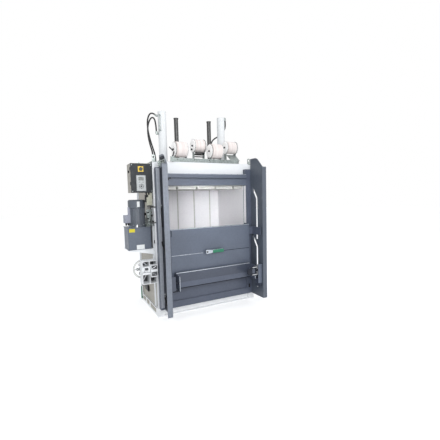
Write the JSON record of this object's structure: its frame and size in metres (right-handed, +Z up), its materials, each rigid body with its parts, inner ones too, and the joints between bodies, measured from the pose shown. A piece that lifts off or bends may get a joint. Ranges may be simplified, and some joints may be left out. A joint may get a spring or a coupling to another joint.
{
  "type": "vertical recycling baler",
  "caption": "Vertical baler: hydraulic press over a bale chamber, side-hinged bale door, lifting feed door on cam tracks, strap reels on top, power pack and lock at the side.",
  "frame": {"origin": "centre of the base frame's footprint, on the floor", "axes": "+Z up, +X to the right seen from the door side, +Y from the door side to the back"},
  "size_m": [1.907, 1.299, 2.8445],
  "materials": {
    "grey_paint": "satin",
    "dark_grey_paint": "satin",
    "light_grey_paint": "satin",
    "white_paint": "satin",
    "zinc": "satin",
    "bright_steel": "polished",
    "dark_steel": "satin",
    "motor_paint": "satin",
    "black_plastic": "matte",
    "white_strap": "matte",
    "yellow_plastic": "gloss",
    "red_plastic": "gloss",
    "green_paint": "satin",
    "black_hose": "matte",
    "panel_plastic": "satin"
  },
  "bodies": {
    "frame": {"base_frame": "white_paint", "frame_posts": "white_paint", "side_wall_left": "white_paint", "side_wall_right": "white_paint", "rear_wall": "white_paint", "chamber_floor": "white_paint", "head_frame": "white_paint", "header_panel": "white_paint", "lifting_lugs": "white_paint", "cylinders": "white_paint", "cylinder_bolts": "zinc", "hose_fittings": "zinc", "guide_bushes": "zinc", "strap_rack": "zinc", "reel_axles": "black_plastic", "hinge_frame_leaves": "grey_paint", "lock_housing": "white_paint", "cabinet_body": "dark_grey_paint", "switchgear": "zinc", "oil_tank": "motor_paint", "tank_lid": "motor_paint", "tank_shelf": "white_paint", "motor_body": "motor_paint", "fan_cowl": "motor_paint", "terminal_box": "motor_paint", "valve_block": "zinc", "pipework": "zinc", "hose_left_outer": "black_hose", "hose_left_inner": "black_hose", "hose_right": "black_hose"},
    "ram": {"ram_plate": "white_paint", "piston_rods": "bright_steel", "guide_tubes": "dark_steel"},
    "bale_door": {"door_frame": "grey_paint", "door_cross_beam": "grey_paint", "wing_left": "grey_paint", "wing_right": "grey_paint", "hinge_door_leaves": "grey_paint"},
    "feed_door": {"feed_panel": "grey_paint", "feed_box_beam": "grey_paint", "roller_brackets": "grey_paint", "handle_base": "black_plastic"},
    "feed_handle": {"feed_handle": "green_paint"},
    "handwheel": {"handwheel": "zinc", "lock_shaft": "bright_steel"},
    "lock_bolt": {"lock_bolt": "bright_steel"},
    "cabinet_lid": {"cabinet_door": "dark_grey_paint", "control_panel": "panel_plastic", "switch_plate": "yellow_plastic"},
    "main_switch": {"switch_knob": "red_plastic"},
    "ejector": {"ejector_lever": "green_paint"},
    "fan": {"motor_fan": "black_plastic"},
    "roller_high_left": {"roller_high_left": "zinc"},
    "roller_high_right": {"roller_high_right": "zinc"},
    "roller_low_left": {"roller_low_left": "zinc"},
    "roller_low_right": {"roller_low_right": "zinc"},
    "reel_1": {"strap_reel_1": "white_strap"},
    "reel_2": {"strap_reel_2": "white_strap"},
    "reel_3": {"strap_reel_3": "white_strap"},
    "reel_4": {"strap_reel_4": "white_strap"}
  },
  "joints": [
    {"name": "ram_press", "type": "slide", "parent": "frame", "child": "ram", "axis": [0, 0, 1], "range_m": [-0.62, 0]},
    {"name": "door_swing", "type": "hinge", "parent": "frame", "child": "bale_door", "pos_m": [0.785, -0.5045, 1.05], "axis": [0, 0, 1], "range_deg": [0, 120]},
    {"name": "feed_lift", "type": "slide", "parent": "bale_door", "child": "feed_door", "axis": [0, 0, 1], "range_m": [0, 0.45]},
    {"name": "roller_high_left_spin", "type": "hinge", "parent": "feed_door", "child": "roller_high_left", "pos_m": [-0.689, -0.6915, 1.085], "axis": [1, 0, 0], "continuous": true},
    {"name": "roller_high_right_spin", "type": "hinge", "parent": "feed_door", "child": "roller_high_right", "pos_m": [0.689, -0.6915, 1.085], "axis": [1, 0, 0], "continuous": true},
    {"name": "roller_low_left_spin", "type": "hinge", "parent": "feed_door", "child": "roller_low_left", "pos_m": [-0.689, -0.6915, 0.374], "axis": [1, 0, 0], "continuous": true},
    {"name": "roller_low_right_spin", "type": "hinge", "parent": "feed_door", "child": "roller_low_right", "pos_m": [0.689, -0.6915, 0.374], "axis": [1, 0, 0], "continuous": true},
    {"name": "feed_handle_turn", "type": "hinge", "parent": "feed_door", "child": "feed_handle", "pos_m": [-0.104, -0.6095, 0.845], "axis": [0, -1, 0], "range_deg": [0, 45]},
    {"name": "handwheel_turn", "type": "hinge", "parent": "frame", "child": "handwheel", "pos_m": [-0.915, -0.3275, 0.655], "axis": [0, -1, 0], "range_deg": [0, 114]},
    {"name": "lock_bolt_slide", "type": "slide", "parent": "frame", "child": "lock_bolt", "axis": [1, 0, 0], "range_m": [0, 0.03]},
    {"name": "cabinet_lid_swing", "type": "hinge", "parent": "frame", "child": "cabinet_lid", "pos_m": [-1.042, -0.4395, 1.85], "axis": [0, 0, -1], "range_deg": [0, 110]},
    {"name": "main_switch_turn", "type": "hinge", "parent": "cabinet_lid", "child": "main_switch", "pos_m": [-0.912, -0.4525, 1.96], "axis": [0, 1, 0], "range_deg": [0, 90]},
    {"name": "reel_1_spin", "type": "hinge", "parent": "frame", "child": "reel_1", "pos_m": [-0.368, -0.4325, 2.23], "axis": [1, 0, 0], "continuous": true},
    {"name": "reel_2_spin", "type": "hinge", "parent": "frame", "child": "reel_2", "pos_m": [-0.013, -0.2475, 2.325], "axis": [1, 0, 0], "continuous": true},
    {"name": "reel_3_spin", "type": "hinge", "parent": "frame", "child": "reel_3", "pos_m": [0.162, -0.4325, 2.23], "axis": [1, 0, 0], "continuous": true},
    {"name": "reel_4_spin", "type": "hinge", "parent": "frame", "child": "reel_4", "pos_m": [0.514, -0.2475, 2.325], "axis": [1, 0, 0], "continuous": true},
    {"name": "ejector_swing", "type": "hinge", "parent": "frame", "child": "ejector", "pos_m": [-0.779, 0.3875, 0.196], "axis": [1, 0, 0], "range_deg": [-60, 0]},
    {"name": "fan_spin", "type": "hinge", "parent": "frame", "child": "fan", "pos_m": [-0.932, -0.2175, 1.55], "axis": [0, 0, 1], "continuous": true}
  ],
  "couplings": [
    {"joint": "lock_bolt_slide", "follows": "handwheel_turn", "m_per_rad": 0.015}
  ]
}
